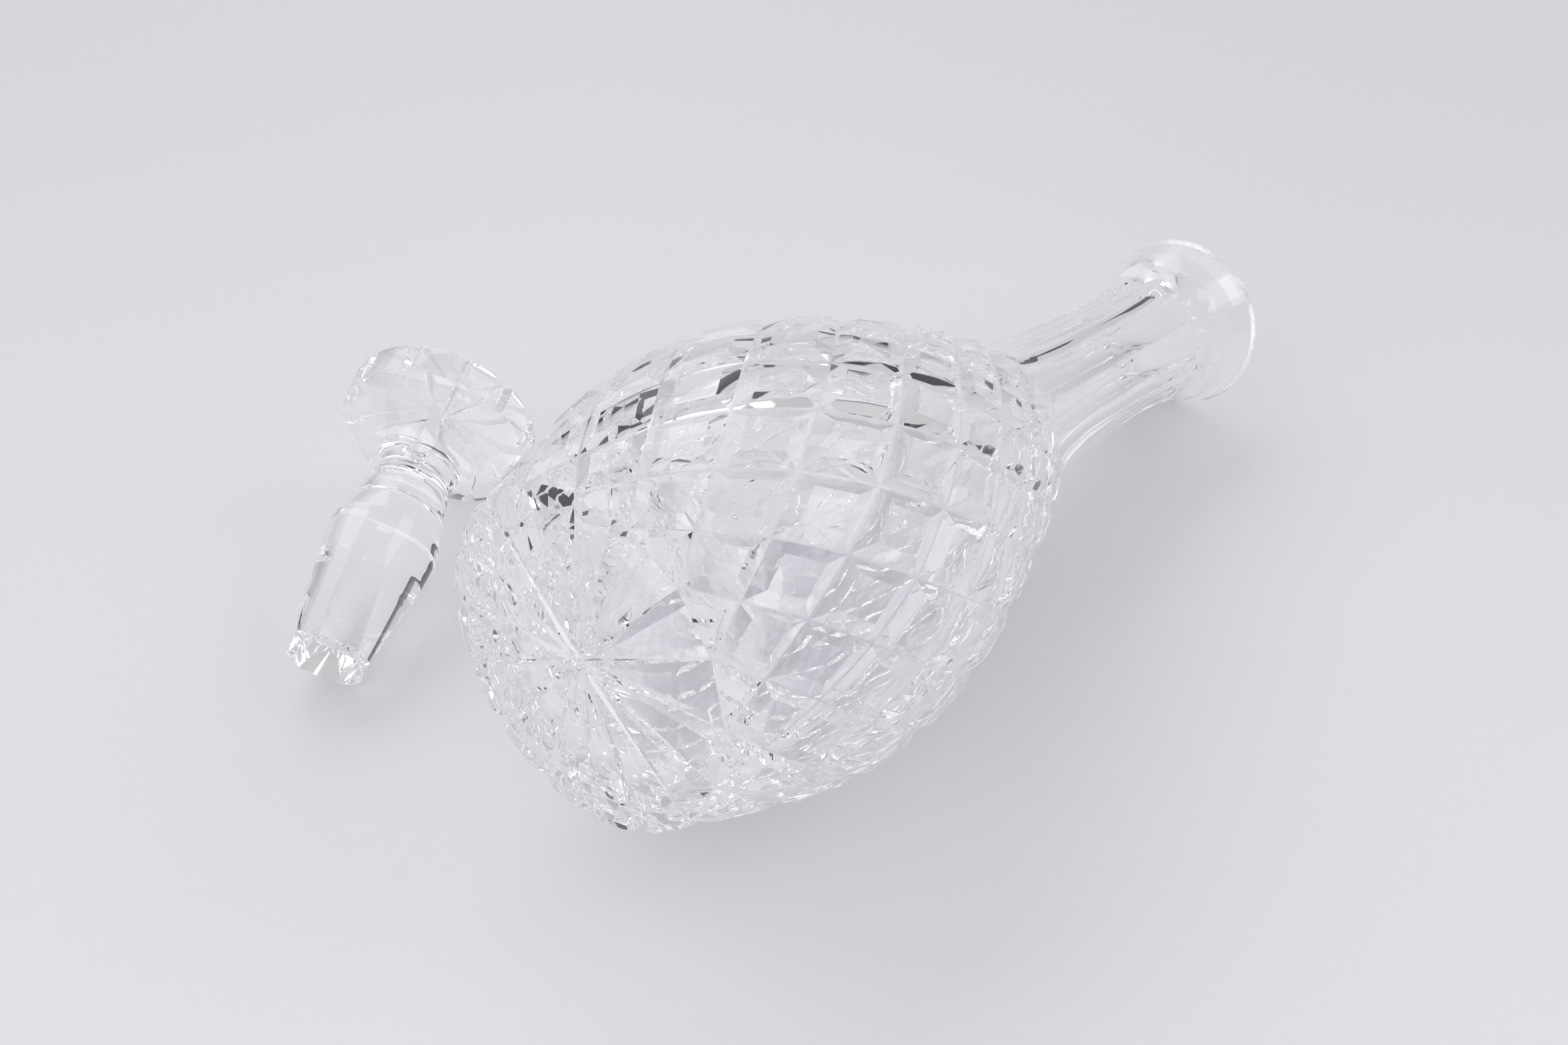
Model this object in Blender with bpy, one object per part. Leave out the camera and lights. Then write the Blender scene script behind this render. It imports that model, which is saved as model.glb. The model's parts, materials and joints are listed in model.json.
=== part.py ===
"""Cut crystal decanter laid on its side, with its stopper laid beside its base.

Each piece is one solid of clear crystal. It is modelled upright in its own frame, with its
axis along +Z, and its parent empty then lays it down on the surface z = 0.
"""
import bmesh
import bpy
from math import cos, pi, radians, sin
from mathutils import Matrix, Vector

MM = 0.001

# Body of the bottle. A lattice of V grooves is cut both ways around it.
COLUMNS = 16
ROWS = 11
FIRST_ROW = 11.2 * MM
RIM_NOTCH = 1.2 * MM
CELL_RATIO = 0.292
FACET_SHARE = 0.54
FACET_RISE = 1.5 * MM
LATTICE_TURN = radians(-6.6)
TWIST = radians(4.3)
TWIST_HEIGHT = 75.0 * MM
FOOT_RADIUS = 42.6 * MM
CORNER_SHARE = 0.25

# Radius at the bottom of the grooves, and of the neck's ridges, by height in millimetres.
OUTLINE = ((0, 41.6), (24, 49.6), (40, 54.4), (56, 56.8), (72, 56.4), (88, 53.6), (114, 45.9),
           (147, 33.0), (166, 25.2), (184, 21.8), (212, 20.1), (238, 19.6), (259, 22.9), (279, 28.4))

# Star cut under the foot: one ray to each notch in the rim.
STAR_HUB = 5.0 * MM
STAR_DEPTH = 1.0 * MM

# Neck: flat flutes from the shoulder to arches under the lip.
FLUTES = 8
NECK_START = 152.0 * MM
FLUTE_FADE = 16.0 * MM
ARCH_LOW = 262.0 * MM
ARCH_HIGH = 268.0 * MM
NECK_RINGS = (156, 161, 168, 184, 212, 238, 252)
LIP_RINGS = (272.5, 276.5)
LIP_TOP = 279.0 * MM
LIP_EDGE = 28.4 * MM
LIP_FLAT_OUTER = 27.7 * MM
LIP_FLAT_INNER = 25.4 * MM

# Inside of the bottle: height and radius in millimetres, from the mouth to the floor.
BORE = ((278.0, 24.5), (273.0, 20.6), (266.0, 18.0), (257.0, 16.4), (238.0, 15.2), (205.0, 15.0),
        (180.0, 16.2), (163.0, 19.6), (147.0, 26.0), (128.0, 34.4), (108.0, 41.4), (86.0, 46.4),
        (62.0, 48.6), (42.0, 46.4), (26.0, 41.0), (17.5, 33.6), (13.6, 22.0), (12.4, 9.0))
CAVITY_FLOOR = 12.0 * MM
BORE_SIDES = 32

# Stopper: height above the tip and radius in millimetres, up to the head's rim band.
STOPPER_OUTLINE = ((0.0, 9.9), (1.6, 12.4), (8.0, 13.03), (15.0, 13.73), (21.0, 14.32), (26.0, 14.82),
                   (30.0, 15.21), (33.0, 15.51), (44.0, 16.6), (46.5, 16.3), (49.5, 15.3), (51.8, 14.5),
                   (52.4, 14.2), (58.6, 13.2), (60.2, 12.2), (61.2, 11.3), (62.6, 12.3), (64.4, 12.0),
                   (68.5, 11.3), (73.0, 13.0), (78.5, 18.6), (83.0, 25.2), (85.2, 27.9))
PLUG_FLATS = 4
PLUG_FLAT_TURN = radians(28)
PLUG_FLAT = ((0.0, 8.2), (1.6, 10.7), (33.0, 15.53))
HEAD_BAND = ((86.0, 28.7), (95.6, 29.4))
HEAD_TOP = ((97.4, 28.0), (98.6, 20.0), (99.0, 6.0))
HEAD_NOTCHES = 12
NOTCH_STEPS = (0.0, 0.12, 0.5, 0.88)
NOTCH_TURN = radians(-5)
NOTCH_DEPTH = 1.8 * MM
CROWN_RAY_DEPTH = 1.0 * MM
HEAD_DIMPLE = 1.2 * MM

# Where the stopper's tip lies from the middle of the bottle's foot, and which way it points.
STOPPER_X = -6.3 * MM
STOPPER_Y = 99.0 * MM
STOPPER_HEADING = radians(28.3)

CLEAR = (0.93, 0.95, 0.96, 1.0)
IOR = 1.545


def smooth_step(value):
    """Ease from 0 to 1."""
    value = min(max(value, 0.0), 1.0)
    return value * value * (3 - 2 * value)


def smooth_curve(points, x):
    """Monotone cubic curve through points sorted by x."""
    steps = [(b[0] - a[0], (b[1] - a[1]) / (b[0] - a[0])) for a, b in zip(points, points[1:])]
    slopes = [steps[0][1]]
    for (width_a, rise_a), (width_b, rise_b) in zip(steps, steps[1:]):
        if rise_a * rise_b <= 0:
            slopes.append(0.0)
        else:
            first = 2 * width_b + width_a
            second = width_b + 2 * width_a
            slopes.append((first + second) / (first / rise_a + second / rise_b))
    slopes.append(steps[-1][1])
    index = 0
    while index < len(steps) - 1 and x > points[index + 1][0]:
        index += 1
    width = steps[index][0]
    t = (x - points[index][0]) / width
    start = points[index][1] * (1 + 2 * t) * (1 - t) ** 2 + slopes[index] * width * t * (1 - t) ** 2
    end = points[index + 1][1] * t * t * (3 - 2 * t) + slopes[index + 1] * width * t * t * (t - 1)
    return start + end


def outline_radius(height):
    """Bottle radius at a height, both in metres."""
    return smooth_curve(OUTLINE, height / MM) * MM


def polar(radius, angle, height):
    """Point at an angle around the axis."""
    return Vector((radius * cos(angle), radius * sin(angle), height))


def row_heights():
    """Heights of the rows where grooves cross. The steps keep the cells in proportion."""
    heights = [RIM_NOTCH, FIRST_ROW]
    while len(heights) <= ROWS:
        height = heights[-1]
        slope = (outline_radius(height + MM) - outline_radius(height)) / MM
        heights.append(height + CELL_RATIO * outline_radius(height) / (1 + slope * slope) ** 0.5)
    return heights


def lattice_angle(column, height):
    """Angle of a column, which may be fractional, at a height."""
    return LATTICE_TURN + column * 2 * pi / COLUMNS + TWIST * smooth_step(height / TWIST_HEIGHT)


def bridge(bm, lower, upper):
    """Quads between two rings of the same count."""
    count = len(lower)
    for i in range(count):
        j = (i + 1) % count
        bm.faces.new((lower[i], lower[j], upper[j], upper[i]))


def fan(bm, ring, centre):
    """Triangles from a ring to one vertex."""
    for i, vert in enumerate(ring):
        bm.faces.new((vert, ring[(i + 1) % len(ring)], centre))


def facet_corner(bm, middle, node):
    """Corner of a raised facet, on the way from a cell's middle to one of its nodes."""
    column = middle[0] + (node[0] - middle[0]) * FACET_SHARE
    height = middle[1] + (node[1] - middle[1]) * FACET_SHARE
    radius = outline_radius(height) + FACET_RISE
    return bm.verts.new(polar(radius, lattice_angle(column, height), height))


def lattice_nodes(bm, heights):
    """Vertices where the grooves cross, as rows of one vertex per column."""
    rows = []
    for row, height in enumerate(heights):
        radius = outline_radius(height)
        angles = [lattice_angle(j + row / 2, height) for j in range(COLUMNS)]
        rows.append([bm.verts.new(polar(radius, angle, height)) for angle in angles])
    return rows


def full_cell(bm, nodes, heights, row, j):
    """One diamond between grooves: four flanks and a raised facet."""
    column = j + row / 2 + 0.5
    around = (j + 1) % COLUMNS
    outer = (nodes[row - 1][around], nodes[row][around], nodes[row + 1][j], nodes[row][j])
    places = ((column, heights[row - 1]), (column + 0.5, heights[row]),
              (column, heights[row + 1]), (column - 0.5, heights[row]))
    inner = [facet_corner(bm, (column, heights[row]), place) for place in places]
    bridge(bm, outer, inner)
    bm.faces.new(inner)


def edge_ring(bm, nodes, radius, height, row):
    """Ring along the lattice's end: each column's node, then three points up to the next."""
    ring = []
    for j, node in enumerate(nodes):
        ring.append(node)
        for share in (CORNER_SHARE, 0.5, 1 - CORNER_SHARE):
            angle = lattice_angle(j + row / 2 + share, height)
            ring.append(bm.verts.new(polar(radius, angle, height)))
    return ring


def half_cell(bm, ring, tips, heights, row, j):
    """Half a diamond at the lattice's end: two flanks and a facet that reaches the edge."""
    left, first, middle, last = ring[4 * j:4 * j + 4]
    right = ring[(4 * j + 4) % len(ring)]
    inward = 1 if row == 0 else -1
    tip = tips[j] if row == 0 else tips[(j + 1) % COLUMNS]
    column = j + row / 2 + 0.5
    corner = facet_corner(bm, (column, heights[row]), (column, heights[row + inward]))
    for a, b, c, d in ((left, first, corner, tip), (last, right, tip, corner)):
        bm.faces.new((a, b, c, d))
    bm.faces.new((first, middle, corner))
    bm.faces.new((middle, last, corner))


def star_base(bm, rim):
    """Star of V cuts under the foot, with flat lands between the rays."""
    centre = bm.verts.new((0, 0, STAR_DEPTH))
    hub = [bm.verts.new(polar(STAR_HUB, lattice_angle(j + 0.5, 0), 0)) for j in range(COLUMNS)]
    for j, land in enumerate(hub):
        node, first, middle, last = rim[4 * j:4 * j + 4]
        before = hub[j - 1]
        bm.faces.new((centre, land, node))
        bm.faces.new((centre, node, before))
        bm.faces.new((node, land, first))
        bm.faces.new((node, rim[4 * j - 1], before))
        bm.faces.new((land, first, middle, last))


def flute_radius(angle, height, turn):
    """Neck radius: the outline, or the flat of a flute where that cuts deeper."""
    outline = outline_radius(height)
    share = pi / FLUTES
    away = (angle - turn) % (2 * share) - share
    run_out = min(max((height - ARCH_LOW) / (ARCH_HIGH - ARCH_LOW), 0.0), 1.0)
    apothem = outline * (1 - (1 - cos(share)) * (1 - run_out))
    flat = min(outline, apothem / cos(away))
    return outline + (flat - outline) * smooth_step((height - NECK_START) / FLUTE_FADE)


def arch_height(angle, turn):
    """Height where a flute runs out under the lip."""
    share = pi / FLUTES
    away = (angle - turn) % (2 * share) - share
    return ARCH_LOW + (ARCH_HIGH - ARCH_LOW) * (cos(away) - cos(share)) / (1 - cos(share))


def neck_and_lip(bm, ring):
    """Outer wall from the shoulder's ring to the edge of the lip's flat."""
    step = 2 * pi / len(ring)
    first = lattice_angle(ROWS / 2, NECK_START)
    turn = first - step
    angles = [first + i * step for i in range(len(ring))]
    for height in [h * MM for h in NECK_RINGS]:
        upper = [bm.verts.new(polar(flute_radius(a, height, turn), a, height)) for a in angles]
        bridge(bm, ring, upper)
        ring = upper
    arches = [arch_height(a, turn) for a in angles]
    upper = [bm.verts.new(polar(outline_radius(h), a, h)) for a, h in zip(angles, arches)]
    bridge(bm, ring, upper)
    ring = upper
    lip = [(outline_radius(h * MM), h * MM) for h in LIP_RINGS]
    lip += [(LIP_EDGE, LIP_TOP - 0.6 * MM), (LIP_FLAT_OUTER, LIP_TOP)]
    for radius, height in lip:
        upper = [bm.verts.new(polar(radius, a, height)) for a in angles]
        bridge(bm, ring, upper)
        ring = upper
    return ring, first


def bore_and_cavity(bm, ring, first):
    """Lip's flat face, then the inner wall down to the thick floor."""
    step = 2 * pi / BORE_SIDES
    angles = [first + i * step for i in range(BORE_SIDES)]
    inner = [bm.verts.new(polar(LIP_FLAT_INNER, a, LIP_TOP)) for a in angles]
    ratio = len(ring) // BORE_SIDES
    for i, vert in enumerate(inner):
        following = inner[(i + 1) % BORE_SIDES]
        outer = [ring[(i * ratio + k) % len(ring)] for k in range(ratio + 1)]
        bm.faces.new(outer + [following, vert])
    for height, radius in BORE:
        lower = [bm.verts.new(polar(radius * MM, a, height * MM)) for a in angles]
        bridge(bm, inner, lower)
        inner = lower
    fan(bm, inner, bm.verts.new((0, 0, CAVITY_FLOOR)))


def bottle_mesh():
    """The whole bottle as one closed shell."""
    bm = bmesh.new()
    heights = row_heights()
    nodes = lattice_nodes(bm, heights)
    for row in range(1, ROWS):
        for j in range(COLUMNS):
            full_cell(bm, nodes, heights, row, j)
    rim = edge_ring(bm, nodes[0], FOOT_RADIUS, 0.0, 0)
    shoulder = edge_ring(bm, nodes[ROWS], outline_radius(NECK_START), NECK_START, ROWS)
    for j in range(COLUMNS):
        half_cell(bm, rim, nodes[1], heights, 0, j)
        half_cell(bm, shoulder, nodes[ROWS - 1], heights, ROWS, j)
    star_base(bm, rim)
    lip, first = neck_and_lip(bm, shoulder)
    bore_and_cavity(bm, lip, first)
    return bm


def plug_radius(height, radius, angle):
    """Plug radius in millimetres: the round taper, or one of its flats where that cuts deeper."""
    share = pi / PLUG_FLATS
    away = (angle - PLUG_FLAT_TURN + share) % (2 * share) - share
    lower, upper = PLUG_FLAT[:2] if height < PLUG_FLAT[1][0] else PLUG_FLAT[1:]
    flat = lower[1] + (upper[1] - lower[1]) * (height - lower[0]) / (upper[0] - lower[0])
    return min(radius, flat / cos(away))


def stopper_angles():
    """Angles of the stopper's vertices: each notch's bottom, its edges and its panel's middle."""
    pitch = 2 * pi / HEAD_NOTCHES
    return [NOTCH_TURN + (i + step) * pitch for i in range(HEAD_NOTCHES) for step in NOTCH_STEPS]


def notched(depth):
    """Depth of cut at each of the stopper's vertices: all of it at the notches, none between."""
    return [depth if step == 0 else 0.0 for _ in range(HEAD_NOTCHES) for step in NOTCH_STEPS]


def stopper_ring(bm, below, radii, heights):
    """Next ring of the stopper, joined to the ring below."""
    places = zip(radii, stopper_angles(), heights)
    ring = [bm.verts.new(polar(radius, angle, height)) for radius, angle, height in places]
    if below is None:
        bm.faces.new(list(reversed(ring)))
    else:
        bridge(bm, below, ring)
    return ring


def stopper_mesh():
    """The whole stopper as one closed shell."""
    bm = bmesh.new()
    angles = stopper_angles()
    ring = None
    for height, radius in STOPPER_OUTLINE:
        level = [height * MM] * len(angles)
        radii = [plug_radius(height, radius, angle) * MM for angle in angles]
        ring = stopper_ring(bm, ring, radii, level)
    for height, radius in HEAD_BAND:
        radii = [radius * MM - cut for cut in notched(NOTCH_DEPTH)]
        ring = stopper_ring(bm, ring, radii, [height * MM] * len(angles))
    for height, radius in HEAD_TOP:
        levels = [height * MM - drop for drop in notched(CROWN_RAY_DEPTH)]
        ring = stopper_ring(bm, ring, [radius * MM] * len(angles), levels)
    fan(bm, ring, bm.verts.new((0, 0, HEAD_TOP[-1][0] * MM - HEAD_DIMPLE)))
    return bm


def crystal_material(name):
    """Clear polished crystal."""
    material = bpy.data.materials.new(name)
    material.use_nodes = True
    shader = material.node_tree.nodes["Principled BSDF"]
    shader.inputs["Base Color"].default_value = CLEAR
    shader.inputs["Roughness"].default_value = 0.02
    shader.inputs["Metallic"].default_value = 0.0
    shader.inputs["IOR"].default_value = IOR
    shader.inputs["Transmission Weight"].default_value = 1.0
    return material


def finish(bm, name):
    """Object from a closed shell, with its faces turned outwards and shaded by angle."""
    bmesh.ops.triangulate(bm, faces=bm.faces[:])
    bmesh.ops.recalc_face_normals(bm, faces=bm.faces[:])
    mesh = bpy.data.meshes.new(name)
    bm.to_mesh(mesh)
    bm.free()
    mesh.shade_smooth()
    mesh.set_sharp_from_angle(angle=radians(14))
    mesh.materials.append(crystal_material(name + "_crystal"))
    piece = bpy.data.objects.new(name, mesh)
    bpy.context.collection.objects.link(piece)
    return piece


def lowest(points, tilt):
    """Lowest height of points after their axis tips down from level by an angle."""
    return min(p.x * cos(tilt) - p.z * sin(tilt) for p in points)


def resting_tilt(near, far):
    """Tilt at which both ends of a piece touch the surface at once."""
    low, high = radians(-40), radians(40)
    for _ in range(60):
        middle = (low + high) / 2
        if lowest(far, middle) > lowest(near, middle):
            low = middle
        else:
            high = middle
    return low


def lay_down(piece, split, heading, place):
    """Parent a piece to an empty that lays it on the surface, resting on both its ends."""
    points = [v.co for v in piece.data.vertices]
    near = [p for p in points if p.z < split]
    far = [p for p in points if p.z >= split]
    tilt = resting_tilt(near, far)
    cradle = bpy.data.objects.new(piece.name + "_cradle", None)
    bpy.context.collection.objects.link(cradle)
    lift = -lowest(points, tilt)
    cradle.matrix_world = (Matrix.Translation((place[0], place[1], lift))
                           @ Matrix.Rotation(heading, 4, "Z")
                           @ Matrix.Rotation(pi / 2 + tilt, 4, "Y")
                           @ Matrix.Rotation(pi, 4, "Z"))
    piece.parent = cradle
    return cradle


def world_points(pieces):
    """Every vertex of the laid pieces, in world space."""
    return [p.parent.matrix_world @ v.co for p in pieces for v in p.data.vertices]


def centre_on_origin(pieces):
    """Move the cradles so that the origin is under the middle of everything."""
    points = world_points(pieces)
    for axis in (0, 1):
        values = [p[axis] for p in points]
        middle = (min(values) + max(values)) / 2
        for piece in pieces:
            piece.parent.matrix_world.translation[axis] -= middle


def main():
    """Build both pieces and lay them down."""
    for old in list(bpy.data.objects):
        bpy.data.objects.remove(old, do_unlink=True)
    bottle = finish(bottle_mesh(), "bottle")
    stopper = finish(stopper_mesh(), "stopper")
    lay_down(bottle, NECK_START, 0.0, (0.0, 0.0))
    lay_down(stopper, 70 * MM, STOPPER_HEADING, (STOPPER_X, STOPPER_Y))
    centre_on_origin([bottle, stopper])


main()
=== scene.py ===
import bmesh
import bpy
import json
from math import cos, hypot, pi, radians
from mathutils import Matrix, Vector


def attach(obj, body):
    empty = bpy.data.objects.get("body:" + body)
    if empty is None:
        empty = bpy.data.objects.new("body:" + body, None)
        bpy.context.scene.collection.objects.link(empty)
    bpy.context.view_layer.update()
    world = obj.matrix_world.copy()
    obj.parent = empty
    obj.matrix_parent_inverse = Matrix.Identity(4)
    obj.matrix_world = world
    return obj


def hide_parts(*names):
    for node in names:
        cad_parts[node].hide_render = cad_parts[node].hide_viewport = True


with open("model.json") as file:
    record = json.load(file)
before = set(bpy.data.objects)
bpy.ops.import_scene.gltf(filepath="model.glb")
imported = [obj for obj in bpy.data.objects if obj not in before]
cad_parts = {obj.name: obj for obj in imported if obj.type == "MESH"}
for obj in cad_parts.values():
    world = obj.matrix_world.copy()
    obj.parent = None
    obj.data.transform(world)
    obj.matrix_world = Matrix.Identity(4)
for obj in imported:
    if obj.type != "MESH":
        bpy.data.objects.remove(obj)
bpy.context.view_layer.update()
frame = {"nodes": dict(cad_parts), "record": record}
mm = 0.001
halvings = 40                   # steps of a search for a height
onFace = 0.00002                # how near a face its corners are, in metres
speck = 0.000002                # edges shorter than this are closed up
weld = 0.000004                 # points nearer than this become one


# a node's socket that can stand in an expression
class Wire:
    def __init__(self, tree, socket):
        self.tree, self.socket = tree, socket

    def maths(self, operation, first, second):
        return self.tree.add("ShaderNodeMath", {"operation": operation}, {0: first, 1: second})

    def __add__(self, other):
        return self.maths("ADD", self, other)

    def __radd__(self, other):
        return self.maths("ADD", other, self)

    def __sub__(self, other):
        return self.maths("SUBTRACT", self, other)

    def __rsub__(self, other):
        return self.maths("SUBTRACT", other, self)

    def __mul__(self, other):
        return self.maths("MULTIPLY", self, other)

    def __rmul__(self, other):
        return self.maths("MULTIPLY", other, self)

    def __truediv__(self, other):
        return self.maths("DIVIDE", self, other)

    def named(self, output):
        return Wire(self.tree, self.socket.node.outputs[output])


class Tree:
    def __init__(self, tree):
        self.tree = tree

    # any node: its settings first, then the values or wires of its sockets
    def add(self, kind, settings=None, values=None, output=0):
        node = self.tree.nodes.new(kind)
        for name, value in (settings or {}).items():
            setattr(node, name, value)
        for key, value in (values or {}).items():
            if isinstance(value, Wire):
                self.tree.links.new(value.socket, node.inputs[key])
            else:
                node.inputs[key].default_value = value
        return Wire(self, node.outputs[output] if node.outputs else node.inputs[0])

    def ramp(self, factor, stops):
        made = self.add("ShaderNodeValToRGB", None, {"Fac": factor})
        ramp = made.socket.node.color_ramp
        ramp.interpolation = "EASE"
        while len(ramp.elements) < len(stops):
            ramp.elements.new(0.5)
        for element, (place, shade) in zip(ramp.elements, stops):
            element.position = place
            element.color = (shade, shade, shade, 1.0)
        return made

    def blendColours(self, factor, first, second):
        return self.add("ShaderNodeMix", {"data_type": "RGBA"},
                        {0: factor, 6: first, 7: second}, output=2)


# monotone cubic through points sorted by their first value
def smoothCurve(points, x):
    steps = [(b[0] - a[0], (b[1] - a[1]) / (b[0] - a[0])) for a, b in zip(points, points[1:])]
    slopes = [steps[0][1]]
    for (widthA, riseA), (widthB, riseB) in zip(steps, steps[1:]):
        if riseA * riseB <= 0:
            slopes.append(0.0)
        else:
            one, two = 2 * widthB + widthA, widthB + 2 * widthA
            slopes.append((one + two) / (one / riseA + two / riseB))
    slopes.append(steps[-1][1])
    index = 0
    while index < len(steps) - 1 and x > points[index + 1][0]:
        index += 1
    width = steps[index][0]
    t = (x - points[index][0]) / width
    start = points[index][1] * (1 + 2 * t) * (1 - t) ** 2 + slopes[index] * width * t * (1 - t) ** 2
    end = points[index + 1][1] * t * t * (3 - 2 * t) + slopes[index + 1] * width * t * t * (t - 1)
    return start + end


# evenly spaced points along a smooth path through (radius, height) pairs
def smoothPath(points, spacing):
    along = [0.0]
    for (r0, h0), (r1, h1) in zip(points, points[1:]):
        along.append(along[-1] + hypot(r1 - r0, h1 - h0))
    radii = [(s, p[0]) for s, p in zip(along, points)]
    heights = [(s, p[1]) for s, p in zip(along, points)]
    count = max(2, round(along[-1] / spacing))
    places = [along[-1] * i / count for i in range(count + 1)]
    return [(smoothCurve(radii, s), smoothCurve(heights, s)) for s in places]


def smoothStep(value):
    value = min(max(value, 0.0), 1.0)
    return value * value * (3 - 2 * value)


bottle = {
    "columns": 16,              # cells around
    "rows": 11,                 # rows where the grooves cross
    "repeat": 2,                # columns in one repeat, which is one flute of the neck
    "firstRow": 11.2, "rimNotch": 1.2, "cellRatio": 0.292,
    "turn": radians(-6.6), "twist": radians(4.3), "twistHeight": 75.0,
    "facetShare": 0.54,         # facet's share of its cell
    "facetRise": 1.46,          # how far a facet stands over the grooves
    "facetFlat": 0.0056,        # how much of the round is ground off a facet, by radius
    "grooveShare": 0.966,       # where the groove's narrow floor ends
    "softEdge": 0.014, "softLift": 0.982, "edgeFrost": 0.35,
    "steps": 6,                 # faces along a facet's side
    "outline": ((0, 41.6), (24, 49.6), (40, 54.4), (56, 56.8), (72, 56.4), (88, 53.6), (114, 45.9),
                (147, 33.0), (166, 25.2), (184, 21.8), (212, 20.1), (238, 19.6), (259, 22.9), (279, 28.4)),
    "footRadius": 42.6, "hub": 5.0, "starDepth": 1.0,
    "neckStart": 152.0, "flutes": 8, "fluteFade": 16.0,
    "archBend": 250.0, "archTop": 272.0, "archFrom": 245.0, "archLift": 0.0185, "archHold": 0.5,
    "neckRings": (154, 156, 158.5, 161, 164, 168, 173, 178, 184, 190, 197, 204, 212, 220, 228, 236,
                  242, 247, 251),
    "lipRings": (270.5, 273.0, 275.3, 277.0),
    "lipEdge": ((28.2, 277.9), (28.37, 278.3), (28.3, 278.65), (28.04, 278.9), (27.66, 279.0),
                (25.4, 279.0), (24.98, 278.88), (24.65, 278.5), (24.5, 278.0)),
    "bore": ((24.5, 278.0), (20.6, 273.0), (18.0, 266.0), (16.4, 257.0), (15.2, 238.0), (15.0, 205.0),
             (16.2, 180.0), (19.6, 163.0), (26.0, 147.0), (34.4, 128.0), (41.4, 108.0), (46.4, 86.0),
             (48.6, 62.0), (46.4, 42.0), (41.0, 26.0), (33.6, 17.5), (22.0, 13.6), (9.0, 12.4), (0.6, 12.0)),
    "boreSpacing": 2.2, "sharpAngle": radians(7),
}


# A repeat of the glass, unrolled. x is columns around and y is rows up, until the node tree rolls it up.
class Repeat:
    traits = ("press", "edge", "own", "radius", "height")

    def __init__(self):
        self.places, self.values, self.faces, self.frost = [], [], [], []

    def lattice(self, u, v, lift=0.0, press=0.0, edge=0.0):
        self.places.append((u, v, lift))
        self.values.append((press, edge, 0.0, 0.0, 0.0))
        return len(self.places) - 1

    # a point with a radius and height of its own, in millimetres
    def turned(self, u, radius, height):
        self.places.append((u, 0.0, 0.0))
        self.values.append((0.0, 0.0, 1.0, radius * mm, height * mm))
        return len(self.places) - 1

    def face(self, corners, frost=0.0):
        self.faces.append(corners)
        self.frost.append(frost)

    def strip(self, lower, upper, frost=0.0):
        for a, b, c, d in zip(lower, lower[1:], upper[1:], upper):
            self.face((a, b, c, d), frost)

    def mesh(self, name):
        mesh = bpy.data.meshes.new(name)
        mesh.from_pydata(self.places, [], self.faces)
        for index, trait in enumerate(self.traits):
            layer = mesh.attributes.new(trait, "FLOAT", "POINT")
            layer.data.foreach_set("value", [v[index] for v in self.values])
        layer = mesh.attributes.new("frost", "FLOAT", "FACE")
        layer.data.foreach_set("value", self.frost)
        return mesh


def outlineRadius(height):
    return smoothCurve(bottle["outline"], height)


def rowHeights():
    heights = [bottle["rimNotch"], bottle["firstRow"]]
    while len(heights) <= bottle["rows"]:
        height = heights[-1]
        slope = outlineRadius(height + 1) - outlineRadius(height)
        heights.append(height + bottle["cellRatio"] * outlineRadius(height) / hypot(1, slope))
    return heights


# radius and height for every hundredth of a row, as a line of points
def outlineObject(samples):
    rows = list(enumerate(rowHeights()))
    points = []
    for i in range(bottle["rows"] * samples + 1):
        height = smoothCurve(rows, i / samples)
        points.append((outlineRadius(height) * mm, 0.0, height * mm))
    mesh = bpy.data.meshes.new("outline")
    mesh.from_pydata(points, [(i, i + 1) for i in range(len(points) - 1)], [])
    made = bpy.data.objects.new("outline", mesh)
    bpy.context.collection.objects.link(made)
    return made


# rings of a cell, from its groove in to its facet: share of the cell, lift and frost of the band inside it
def cellRings():
    share = bottle["facetShare"]
    return ((1.0, 0.0, 1.0), (bottle["grooveShare"], 0.0, 0.0),
            (share + bottle["softEdge"], bottle["softLift"], bottle["edgeFrost"]), (share, 1.0, 0.0))


# One cell. Its own a and b axes run along the grooves. half is +1 or -1 for the half at the foot or shoulder.
def cell(repeat, u, v, half=0):
    share, steps = bottle["facetShare"], bottle["steps"]

    def point(a, b, lift):
        reach = (a * a + b * b) / (2 * share * share)
        press = lift * (1 - min(reach, 1.0))
        size = max(abs(a), abs(b))
        if half != 0 and abs(a + b) < 1e-9:
            return repeat.lattice(u + (a - b) / 4, v, 0.0, 0.0, half * min((1 - size) / (1 - share), 1.0))
        return repeat.lattice(u + (a - b) / 4, v + (a + b) / 2, lift, press)

    run = [2 * i / steps - 1 for i in range(steps + 1)]
    if half == 0:
        loops = ([(-1, t) for t in run], [(t, 1) for t in run],
                 [(1, -t) for t in run], [(-t, -1) for t in run])
    elif half > 0:
        loops = ([(t, 1) for t in run], [(1, -t) for t in run])
    else:
        loops = ([(-1, -t) for t in run], [(t, -1) for t in run])
    for loop in loops:
        previous, bandFrost = None, 0.0
        for size, lift, frost in cellRings():
            ring = [point(a * size, b * size, lift) for a, b in loop]
            if previous:
                repeat.strip(ring, previous, bandFrost)
            previous, bandFrost = ring, frost
    grid = {}
    for i in range(steps + 1):
        for j in range(steps + 1):
            if half * (i + j - steps) >= 0:
                grid[i, j] = point(run[i] * share, run[j] * share, 1.0)
    for i in range(steps):
        for j in range(steps):
            corners = [k for k in ((i, j), (i + 1, j), (i + 1, j + 1), (i, j + 1)) if k in grid]
            if len(corners) >= 3:
                repeat.face([grid[k] for k in corners])


# column shares of the points along the lattice's two ends, from one groove to the next
def endShares():
    sizes = [size for size, _, _ in cellRings()]
    steps, share = bottle["steps"], bottle["facetShare"]
    inside = [share * (2 * i / steps - 1) for i in range(1, steps)]
    return [(1 + s) / 2 for s in [-size for size in sizes] + inside + sizes[::-1]]


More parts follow.
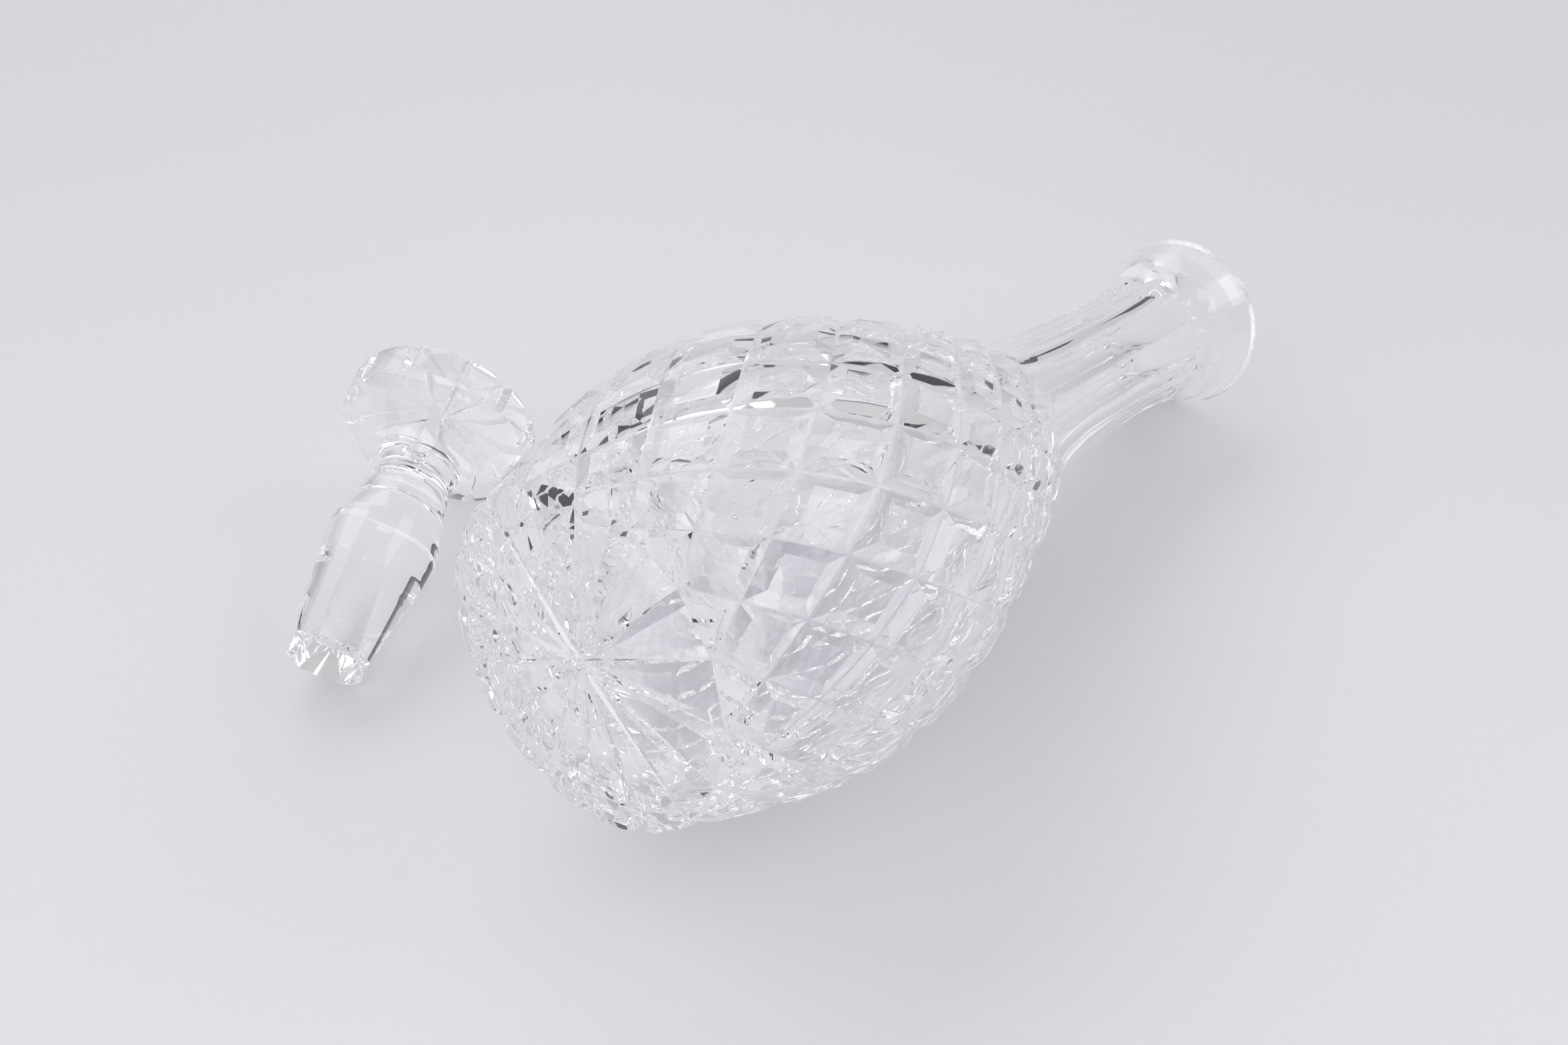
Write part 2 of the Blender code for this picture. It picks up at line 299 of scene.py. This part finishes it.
def starFoot(repeat, column):
    centre = repeat.turned(column, 0.0, bottle["starDepth"])
    hub = repeat.turned(column + 0.5, bottle["hub"], 0.0)
    rim = []
    for share in endShares():
        size = abs(2 * share - 1)
        edge = min((1 - size) / (1 - bottle["facetShare"]), 1.0)
        rim.append(repeat.lattice(column + share, 0.0, 0.0, 0.0, edge))
    repeat.face((centre, rim[0], hub))
    repeat.face((centre, hub, rim[-1]))
    for a, b in zip(rim, rim[1:]):
        repeat.face((hub, a, b))


def fluteFloor(height):
    share = pi / bottle["flutes"]
    start = bottle["archFrom"]
    if height <= start:
        return cos(share) * outlineRadius(height)
    slope = outlineRadius(start + 0.5) - outlineRadius(start - 0.5)
    line = outlineRadius(start) + slope * bottle["archHold"] * (height - start)
    return cos(share) * line + bottle["archLift"] * max(height - bottle["archBend"], 0.0) ** 2


# angle from the middle of a flute: the ridges run up from the facets' corners
def fluteAngle(u):
    ridge = bottle["rows"] / 2 + (1 + bottle["facetShare"]) / 2
    share = pi / bottle["flutes"]
    return ((u - ridge) * 2 * pi / bottle["columns"]) % (2 * share) - share


def neckRadius(u, height):
    outline = outlineRadius(height)
    cut = min(outline, fluteFloor(height) / cos(fluteAngle(u)))
    return outline + (cut - outline) * smoothStep((height - bottle["neckStart"]) / bottle["fluteFade"])


# height where a flute's floor runs out through the lip's flare
def archHeight(u):
    low, high = bottle["archBend"], bottle["archTop"]
    for _ in range(halvings):
        middle = (low + high) / 2
        if fluteFloor(middle) / cos(fluteAngle(u)) < outlineRadius(middle):
            low = middle
        else:
            high = middle
    return low


def neckLipAndBore(repeat):
    columns = bottle["repeat"]
    start = bottle["rows"] / 2
    shares = endShares()
    along, ring = [], []
    for column in range(columns):
        for share in shares if column == 0 else shares[1:]:
            size = abs(2 * share - 1)
            edge = min((1 - size) / (1 - bottle["facetShare"]), 1.0)
            along.append(start + column + share)
            ring.append(repeat.lattice(along[-1], bottle["rows"], 0.0, 0.0, -edge))
    last = bottle["neckRings"][-1]
    levels = [[(neckRadius(u, h), h) for u in along] for h in bottle["neckRings"]]
    for part in (0.25, 0.5, 0.75, 0.9, 1.0):
        heights = [last + (archHeight(u) - last) * part for u in along]
        levels.append([(neckRadius(u, h), h) for u, h in zip(along, heights)])
    for h in bottle["lipRings"]:
        levels.append([(outlineRadius(h), h)] * len(along))
    inside = smoothPath(bottle["bore"], bottle["boreSpacing"])
    for place in (*bottle["lipEdge"][:-1], *inside):
        levels.append([place] * len(along))
    for level in levels:
        upper = [repeat.turned(u, *place) for u, place in zip(along, level)]
        repeat.strip(ring, upper)
        ring = upper
    centre = repeat.turned(start, 0.0, bottle["bore"][-1][1])
    for a, b in zip(ring, ring[1:]):
        repeat.face((a, b, centre))


def bottleRepeat():
    repeat = Repeat()
    for column in range(bottle["repeat"]):
        for row in range(1, bottle["rows"]):
            cell(repeat, column + row / 2 + 0.5, row)
        cell(repeat, column + 0.5, 0, half=1)
        cell(repeat, column + bottle["rows"] / 2 + 0.5, bottle["rows"], half=-1)
        starFoot(repeat, column)
    neckLipAndBore(repeat)
    return repeat


stopper = {
    "quarters": 4,
    "notches": 12, "notchTurn": radians(-5), "notchDepth": 1.8,
    "notchSteps": (0.0, 0.03, 0.1, 0.13, 0.2, 0.3, 0.4, 0.5, 0.6, 0.7, 0.8, 0.87, 0.9, 0.97),
    "notchEdge": 0.12,
    "flatTurn": radians(28), "flat": ((0.0, 8.17), (1.6, 10.66), (33.0, 15.5)),
    "plug": ((9.88, 0.0), (12.36, 1.6), (15.49, 33.0)),
    "plugLevels": (0.0, 0.15, 1.45, 1.6, 1.75), "flatFrom": 2.0, "flatTop": 33.0,
    "collar": ((15.61, 34.0), (15.91, 37.0), (16.4, 42.0), (16.55, 43.6), (16.58, 44.1), (16.5, 44.5),
               (16.3, 45.2), (15.9, 47.0), (15.2, 49.6), (14.6, 51.6)),
    "step": ((14.45, 51.8), (14.25, 52.0), (14.15, 52.3), (13.7, 55.4), (13.25, 58.2), (13.0, 59.2),
             (12.6, 59.9), (12.2, 60.2)),
    "waist": ((12.2, 60.2), (11.5, 60.7), (11.3, 61.2), (11.5, 61.7), (12.1, 62.1), (12.35, 62.9),
              (12.3, 63.7), (11.9, 64.7), (11.4, 66.4), (11.25, 68.5), (11.7, 70.8), (13.0, 73.2),
              (15.6, 76.0), (19.0, 78.8), (22.8, 81.5), (25.8, 83.5), (27.6, 85.0), (28.5, 85.9)),
    "spacing": 0.75,
    "band": ((28.5, 85.9), (28.75, 86.3), (28.9, 87.4), (29.1, 90.0), (29.3, 93.0), (29.35, 95.0),
             (29.15, 95.9), (28.7, 96.6), (28.0, 97.3)),
    "crown": ((28.0, 97.3), (26.0, 97.8), (20.0, 98.55), (12.0, 98.95), (6.0, 98.98)),
    "crownRay": 1.0, "crownFade": 20, "dimple": 1.2, "sharpAngle": radians(14),
}


def plugFlat(angle):
    share = 2 * pi / stopper["quarters"]
    return (angle - stopper["flatTurn"] + share / 2) % share - share / 2


# radius from a short list of radii and heights joined by straight lines
def straightLine(points, height):
    lower, upper = points[:2] if height < points[1][1] else points[1:]
    return lower[0] + (upper[0] - lower[0]) * (height - lower[1]) / (upper[1] - lower[1])


def plugRadius(angle, height):
    flat = straightLine([(r, h) for h, r in stopper["flat"]], height)
    return min(straightLine(stopper["plug"], height), flat / cos(plugFlat(angle)))


# height where a flat runs out through the round taper
def flatTopHeight(angle):
    low, high = stopper["flatFrom"], stopper["flatTop"]
    for _ in range(halvings):
        middle = (low + high) / 2
        if plugRadius(angle, middle) < straightLine(stopper["plug"], middle) - 1e-6:
            low = middle
        else:
            high = middle
    return low


def stopperAngles():
    pitch = 2 * pi / stopper["notches"]
    quarter = 2 * pi / stopper["quarters"]
    perQuarter = stopper["notches"] // stopper["quarters"]
    start = stopper["notchTurn"]
    starts = [start + (i + s) * pitch for i in range(perQuarter) for s in stopper["notchSteps"]]
    return starts + [start + quarter]


# how deep a notch is at an angle, from 0 to 1
def notchAt(angle):
    pitch = 2 * pi / stopper["notches"]
    away = abs((angle - stopper["notchTurn"] + pitch / 2) % pitch - pitch / 2) / pitch
    return max(0.0, 1 - away / stopper["notchEdge"])


def stopperRepeat():
    repeat = Repeat()
    angles = stopperAngles()
    quarter = 2 * pi / stopper["quarters"]
    along = [a / quarter for a in angles]
    levels = []
    for height in stopper["plugLevels"]:
        levels.append([(plugRadius(a, height), height) for a in angles])
    last = stopper["plugLevels"][-1]
    tops = [flatTopHeight(a) for a in angles]
    for part in (0.06, 0.3, 0.55, 0.8, 0.97, 1.0):
        heights = [last + (top - last) * part for top in tops]
        levels.append([(plugRadius(a, h), h) for a, h in zip(angles, heights)])
    above = stopper["collar"][0][1]
    for part in (0.03, 0.35, 0.7, 1.0):
        heights = [top + (above - top) * part for top in tops]
        levels.append([(plugRadius(a, h), h) for a, h in zip(angles, heights)])
    for points in (stopper["collar"], stopper["step"], stopper["waist"]):
        for place in smoothPath(points, stopper["spacing"])[1:]:
            levels.append([place] * len(angles))
    for radius, height in stopper["band"][1:-1]:
        levels.append([(radius - stopper["notchDepth"] * notchAt(a), height) for a in angles])
    for radius, height in stopper["crown"]:
        cut = stopper["crownRay"] * min(1.0, radius / stopper["crownFade"])
        levels.append([(radius, height - cut * notchAt(a)) for a in angles])
    tipCentre = repeat.turned(along[0], 0.0, 0.0)
    ring = [repeat.turned(u, *place) for u, place in zip(along, levels[0])]
    for a, b in zip(ring, ring[1:]):
        repeat.face((b, a, tipCentre))
    for level in levels[1:]:
        upper = [repeat.turned(u, *place) for u, place in zip(along, level)]
        repeat.strip(ring, upper)
        ring = upper
    crown = repeat.turned(along[0], 0.0, stopper["crown"][-1][1] - stopper["dimple"])
    for a, b in zip(ring, ring[1:]):
        repeat.face((a, b, crown))
    return repeat


# the tree that copies a repeat around the axis and rolls it up
def rollUpTree():
    group = bpy.data.node_groups.new("rollUp", "GeometryNodeTree")
    sockets = {}
    for name, kind in (("Geometry", "NodeSocketGeometry"), ("Outline", "NodeSocketObject"),
                       ("Material", "NodeSocketMaterial"), ("Repeats", "NodeSocketInt"),
                       ("Columns per repeat", "NodeSocketFloat"), ("Columns", "NodeSocketFloat"),
                       ("Samples per row", "NodeSocketFloat"), ("Turn", "NodeSocketFloat"),
                       ("Twist", "NodeSocketFloat"), ("Twist height", "NodeSocketFloat"),
                       ("Facet rise", "NodeSocketFloat"), ("Facet flat", "NodeSocketFloat"),
                       ("Foot radius", "NodeSocketFloat"), ("Shoulder radius", "NodeSocketFloat"),
                       ("Shoulder height", "NodeSocketFloat")):
        sockets[name] = group.interface.new_socket(name=name, in_out="INPUT", socket_type=kind)
    group.interface.new_socket(name="Geometry", in_out="OUTPUT", socket_type="NodeSocketGeometry")
    tree = Tree(group)
    given = tree.add("NodeGroupInput")

    def attribute(name):
        return tree.add("GeometryNodeInputNamedAttribute", {"data_type": "FLOAT"}, {"Name": name})

    def between(factor, first, second):
        return first + factor * (second - first)

    step = tree.add("ShaderNodeCombineXYZ", None, {"X": given.named("Columns per repeat")})
    starts = tree.add("GeometryNodeMeshLine", {"mode": "OFFSET"},
                      {"Count": given.named("Repeats"), "Offset": step})
    copies = tree.add("GeometryNodeInstanceOnPoints", None,
                      {"Points": starts, "Instance": given.named("Geometry")})
    flat = tree.add("GeometryNodeRealizeInstances", None, {"Geometry": copies})
    place = tree.add("ShaderNodeSeparateXYZ", None, {0: tree.add("GeometryNodeInputPosition")})
    column, row, lift = place.named("X"), place.named("Y"), place.named("Z")

    # the outline's radius and height at this row
    outline = tree.add("GeometryNodeObjectInfo", None, {"Object": given.named("Outline")}, "Geometry")
    sample = row * given.named("Samples per row")
    whole = tree.add("FunctionNodeFloatToInt", {"rounding_mode": "FLOOR"}, {0: sample})
    spot = tree.add("GeometryNodeInputPosition")
    low, high = (tree.add("GeometryNodeSampleIndex", {"data_type": "FLOAT_VECTOR", "clamp": True},
                          {"Geometry": outline, "Value": spot, "Index": index})
                 for index in (whole, whole + 1))
    on = tree.add("ShaderNodeMix", {"data_type": "VECTOR"}, {0: sample - whole, 4: low, 5: high}, 1)
    profile = tree.add("ShaderNodeSeparateXYZ", None, {0: on})
    cutRadius = profile.named("X") * (1 - given.named("Facet flat") * attribute("press"))
    cutRadius = cutRadius + given.named("Facet rise") * lift
    cutHeight = profile.named("Z")

    # the lattice's ends run out to the foot's rim and to the neck
    edge = attribute("edge")
    atFoot = tree.add("ShaderNodeMath", {"operation": "MAXIMUM"}, {0: edge, 1: 0.0})
    atNeck = tree.add("ShaderNodeMath", {"operation": "MAXIMUM"}, {0: 0 - edge, 1: 0.0})
    cutRadius = between(atFoot, cutRadius, given.named("Foot radius"))
    cutRadius = between(atNeck, cutRadius, given.named("Shoulder radius"))
    cutHeight = cutHeight * (1 - atFoot)
    cutHeight = between(atNeck, cutHeight, given.named("Shoulder height"))
    own = attribute("own")
    radius = between(own, cutRadius, attribute("radius"))
    height = between(own, cutHeight, attribute("height"))

    # roll up
    eased = tree.add("ShaderNodeMapRange", {"interpolation_type": "SMOOTHSTEP"},
                     {"Value": height, "From Max": given.named("Twist height")})
    angle = given.named("Turn") + column * (2 * pi) / given.named("Columns")
    angle = angle + eased * given.named("Twist")
    across = radius * tree.add("ShaderNodeMath", {"operation": "COSINE"}, {0: angle})
    away = radius * tree.add("ShaderNodeMath", {"operation": "SINE"}, {0: angle})
    rolled = tree.add("ShaderNodeCombineXYZ", None, {"X": across, "Y": away, "Z": height})
    moved = tree.add("GeometryNodeSetPosition", None, {"Geometry": flat, "Position": rolled})
    joined = tree.add("GeometryNodeMergeByDistance", None, {"Geometry": moved, "Distance": weld})
    painted = tree.add("GeometryNodeSetMaterial", None,
                       {"Geometry": joined, "Material": given.named("Material")})
    tree.add("NodeGroupOutput", None, {"Geometry": painted})
    return group, sockets


# runs the tree on a repeat, and returns the plain mesh of the whole piece, upright
def rollUp(name, repeat, values):
    source = bpy.data.objects.new(name + "Repeat", repeat.mesh(name + "Repeat"))
    bpy.context.collection.objects.link(source)
    modifier = source.modifiers.new("rollUp", "NODES")
    modifier.node_group = rollUpGroup
    for key, value in values.items():
        modifier[rollUpSockets[key].identifier] = value
    bpy.context.view_layer.update()
    graph = bpy.context.evaluated_depsgraph_get()
    mesh = bpy.data.meshes.new_from_object(source.evaluated_get(graph))
    mesh.name = name
    source.modifiers.remove(modifier)
    bpy.data.objects.remove(source)
    return mesh


# Where an upright piece goes: its axis runs out of the mount's face, and its x axis points up.
def layingMatrix(node, mountName):
    mount = next(m for m in frame["record"]["mounts"] if m["name"] == mountName)
    axis = -Vector(mount["axis"]).normalized()
    face = Vector(mount["pos_m"])
    spots = set()
    for vertex in frame["nodes"][node].data.vertices:
        if abs((vertex.co - face).dot(axis)) < onFace:
            spots.add(tuple(round(c, 6) for c in vertex.co))
    middle = sum((Vector(s) for s in spots), Vector()) / len(spots)
    up = (Vector((0, 0, 1)) - axis * axis.z).normalized()
    side = axis.cross(up)
    turned = Matrix((up, side, axis)).transposed().to_4x4()
    return Matrix.Translation(middle) @ turned


def finishGlass(name, mesh, node, mountName, sharpAngle):
    bm = bmesh.new()
    bm.from_mesh(mesh)
    bmesh.ops.dissolve_degenerate(bm, dist=speck, edges=bm.edges[:])
    bmesh.ops.recalc_face_normals(bm, faces=bm.faces[:])
    openEdges = sum(not e.is_manifold for e in bm.edges)
    bm.to_mesh(mesh)
    bm.free()
    mesh.transform(layingMatrix(node, mountName))
    mesh.shade_smooth()
    mesh.set_sharp_from_angle(angle=sharpAngle)
    piece = bpy.data.objects.new(name, mesh)
    bpy.context.collection.objects.link(piece)
    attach(piece, node)
    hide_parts(node)
    print(name, len(mesh.vertices), "vertices,", len(mesh.polygons), "faces,", openEdges, "open edges")
    return piece


crystal = {
    "tint": (1.0, 1.0, 1.0), "shade": (0.992, 0.996, 1.0), "ior": 1.545,
    "rippleReach": 0.002, "wheelReach": 0.0002,
    "polish": 0.004, "smear": 0.012, "frost": 0.22,
    "cloudScale": 18.0, "rippleScale": 42.0, "rippleDepth": 0.012, "wheelScale": 900.0, "wheelDepth": 0.006,
    "shadowTint": (0.82, 0.825, 0.84, 1.0),
}


def crystalMaterial(name, seed):
    material = bpy.data.materials.new(name)
    material.use_nodes = True
    material.node_tree.nodes.clear()
    tree = Tree(material.node_tree)
    place = tree.add("ShaderNodeTexCoord", None, None, "Object")
    spread = tree.add("ShaderNodeMapping", None, {"Vector": place, "Location": (seed, 0.3 * seed, 0.0)})
    cloud = tree.add("ShaderNodeTexNoise", None,
                     {"Vector": spread, "Scale": crystal["cloudScale"], "Detail": 3.0})
    ripple = tree.add("ShaderNodeTexNoise", None,
                      {"Vector": spread, "Scale": crystal["rippleScale"], "Detail": 1.0})
    wheel = tree.add("ShaderNodeTexNoise", None,
                     {"Vector": spread, "Scale": crystal["wheelScale"], "Detail": 2.0})
    frost = tree.add("ShaderNodeAttribute", {"attribute_name": "frost"}, None, "Fac")
    colour = tree.blendColours(cloud, (*crystal["tint"], 1.0), (*crystal["shade"], 1.0))
    roughness = crystal["polish"] + crystal["smear"] * tree.ramp(cloud, ((0.5, 0.0), (0.8, 1.0)))
    roughness = roughness + frost * crystal["frost"]
    bumpA = tree.add("ShaderNodeBump", None, {"Strength": crystal["rippleDepth"],
                                              "Distance": crystal["rippleReach"], "Height": ripple})
    bumpB = tree.add("ShaderNodeBump", None, {"Strength": crystal["wheelDepth"],
                                              "Distance": crystal["wheelReach"], "Height": wheel,
                                              "Normal": bumpA})
    glass = tree.add("ShaderNodeBsdfPrincipled", None,
                     {"Base Color": colour, "Roughness": roughness, "Normal": bumpB,
                      "Transmission Weight": 1.0, "IOR": crystal["ior"]})
    clear = tree.add("ShaderNodeBsdfTransparent", None, {"Color": crystal["shadowTint"]})
    path = tree.add("ShaderNodeLightPath", None, None, "Is Shadow Ray")
    mixed = tree.add("ShaderNodeMixShader", None, {0: path, 1: glass, 2: clear})
    tree.add("ShaderNodeOutputMaterial", None, {"Surface": mixed})
    return material


studio = {
    "floorShade": (0.755, 0.75, 0.785, 1.0), "floorHeight": -0.0001, "floorSize": 12.0,
    "floorDim": 0.98, "floorCloud": 3.0, "floorRough": 0.55, "bounces": 48, "glassBounces": 32,
    "lens": 37.82, "cameraHeading": radians(40.366), "cameraDown": radians(38.338),
    "cameraPlace": (-175.81, -209.20, 320.67),       # from under the foot's centre, in millimetres
    "wall": 0.62, "ceiling": 0.56, "backdrop": 0.72, "lightTint": (0.975, 0.98, 1.0, 1.0),
    # panels around the studio: direction, half width, half height, soft edge, brightness
    "panels": (((0.10, 0.75, 0.80), 0.70, 0.30, 0.03, 1.75), ((-0.9, 0.1, 0.75), 0.40, 0.30, 0.03, 1.75),
               ((0.75, -0.75, 0.85), 0.30, 0.20, 0.02, 1.75), ((-0.7, -0.8, 0.25), 0.45, 0.27, 0.01, 0.02),
               ((1.0, 0.35, 0.22), 0.17, 0.13, 0.01, 0.02), ((0.2, 1.0, 0.12), 0.39, 0.21, 0.01, 0.03),
               ((-1.0, 0.6, 0.15), 0.34, 0.28, 0.01, 0.02)),
    "frontLamp": {"place": (-0.95, -0.85, 0.95), "target": (-0.25, -0.35, 0.0),
                  "size": (1.0, 0.7), "power": 6.0},
}


def makeCamera(foot):
    data = bpy.data.cameras.new("camera")
    data.lens, data.sensor_width = studio["lens"], 36.0
    data.clip_start, data.clip_end = 0.01, 50.0
    camera = bpy.data.objects.new("camera", data)
    x, y, z = studio["cameraPlace"]
    camera.location = (foot.x + x * mm, foot.y + y * mm, z * mm)
    camera.rotation_euler = (pi / 2 - studio["cameraDown"], 0.0, studio["cameraHeading"] - pi / 2)
    bpy.context.collection.objects.link(camera)
    bpy.context.scene.camera = camera
    return camera


def makeFloor():
    size = studio["floorSize"]
    mesh = bpy.data.meshes.new("floor")
    corners = [(x * size, y * size, studio["floorHeight"]) for x, y in ((-1, -1), (1, -1), (1, 1), (-1, 1))]
    mesh.from_pydata(corners, [], [(0, 1, 2, 3)])
    floor = bpy.data.objects.new("floor", mesh)
    bpy.context.collection.objects.link(floor)
    material = bpy.data.materials.new("paleFloor")
    material.use_nodes = True
    material.node_tree.nodes.clear()
    tree = Tree(material.node_tree)
    place = tree.add("ShaderNodeTexCoord", None, None, "Object")
    cloud = tree.add("ShaderNodeTexNoise", None,
                     {"Vector": place, "Scale": studio["floorCloud"], "Detail": 2.0})
    darker = (*(studio["floorDim"] * c for c in studio["floorShade"][:3]), 1.0)
    shade = tree.blendColours(cloud, studio["floorShade"], darker)
    surface = tree.add("ShaderNodeBsdfPrincipled", None,
                       {"Base Color": shade, "Roughness": studio["floorRough"]})
    tree.add("ShaderNodeOutputMaterial", None, {"Surface": surface})
    mesh.materials.append(material)


def makeLamp(name, place, target, size, power):
    data = bpy.data.lights.new(name, "AREA")
    data.shape, data.size, data.size_y, data.energy = "RECTANGLE", size[0], size[1], power
    lamp = bpy.data.objects.new(name, data)
    lamp.location = place
    lamp.rotation_euler = (Vector(target) - Vector(place)).to_track_quat("-Z", "Y").to_euler()
    bpy.context.collection.objects.link(lamp)


# a bright or dark panel of the studio: 1 inside it, seen in the direction of its middle
def panel(tree, way, centre, width, height, soft):
    middle = Vector(centre).normalized()
    side = middle.cross(Vector((0, 0, 1))).normalized()
    top = side.cross(middle)

    def along(axis):
        return tree.add("ShaderNodeVectorMath", {"operation": "DOT_PRODUCT"}, {0: way, 1: axis}, "Value")

    ahead = tree.add("ShaderNodeMath", {"operation": "MAXIMUM"}, {0: along(middle), 1: 0.01})
    mask = None
    for axis, reach in ((side, width), (top, height)):
        off = tree.add("ShaderNodeMath", {"operation": "ABSOLUTE"}, {0: along(axis) / ahead})
        part = tree.add("ShaderNodeMapRange", {"interpolation_type": "SMOOTHSTEP"},
                        {"Value": off, "From Min": reach - soft, "From Max": reach + soft,
                         "To Min": 1.0, "To Max": 0.0})
        mask = part if mask is None else mask * part
    return mask


def makeWorld():
    world = bpy.data.worlds.new("studio")
    bpy.context.scene.world = world
    world.use_nodes = True
    world.node_tree.nodes.clear()
    tree = Tree(world.node_tree)
    way = tree.add("ShaderNodeTexCoord", None, None, "Generated")
    height = tree.add("ShaderNodeSeparateXYZ", None, {0: way}).named("Z")
    light = tree.add("ShaderNodeMapRange", None, {"Value": height, "From Min": 0.0, "From Max": 0.6,
                                                  "To Min": studio["wall"], "To Max": studio["ceiling"]})
    for centre, width, tall, soft, glow in studio["panels"]:
        mask = panel(tree, way, centre, width, tall, soft)
        light = light + mask * (glow - light)
    seen = tree.add("ShaderNodeLightPath", None, None, "Is Camera Ray")
    light = light + seen * (studio["backdrop"] - light)
    sky = tree.add("ShaderNodeBackground", None, {"Color": studio["lightTint"], "Strength": light})
    tree.add("ShaderNodeOutputWorld", None, {"Surface": sky})


rollUpGroup, rollUpSockets = rollUpTree()
samplesPerRow = 100
outlineLine = outlineObject(samplesPerRow)
shared = {"Outline": outlineLine, "Samples per row": float(samplesPerRow)}
bottleMesh = rollUp("bottleGlass", bottleRepeat(), {
    **shared, "Material": crystalMaterial("cutCrystal", 0.0),
    "Repeats": bottle["columns"] // bottle["repeat"], "Columns per repeat": float(bottle["repeat"]),
    "Columns": float(bottle["columns"]), "Turn": bottle["turn"], "Twist": bottle["twist"],
    "Twist height": bottle["twistHeight"] * mm, "Facet rise": bottle["facetRise"] * mm,
    "Facet flat": bottle["facetFlat"], "Foot radius": bottle["footRadius"] * mm,
    "Shoulder radius": outlineRadius(bottle["neckStart"]) * mm, "Shoulder height": bottle["neckStart"] * mm})
finishGlass("bottleGlass", bottleMesh, "bottle", "foot", bottle["sharpAngle"])
stopperMesh = rollUp("stopperGlass", stopperRepeat(), {
    **shared, "Material": crystalMaterial("stopperCrystal", 2.7),
    "Repeats": stopper["quarters"], "Columns per repeat": 1.0, "Columns": float(stopper["quarters"]),
    "Twist height": 1.0})
finishGlass("stopperGlass", stopperMesh, "stopper", "stopper_tip", stopper["sharpAngle"])
bpy.data.objects.remove(outlineLine)
print("glass done")

makeCamera(layingMatrix("bottle", "foot").translation)
makeFloor()
makeWorld()
makeLamp("frontLamp", **studio["frontLamp"])
bpy.context.scene.view_settings.view_transform = "Standard"
# cut glass reflects light inside itself many times, and each time is a glossy bounce
bpy.context.scene.cycles.max_bounces = studio["bounces"]
bpy.context.scene.cycles.transmission_bounces = studio["glassBounces"]
bpy.context.scene.cycles.glossy_bounces = studio["glassBounces"]
print("studio done")
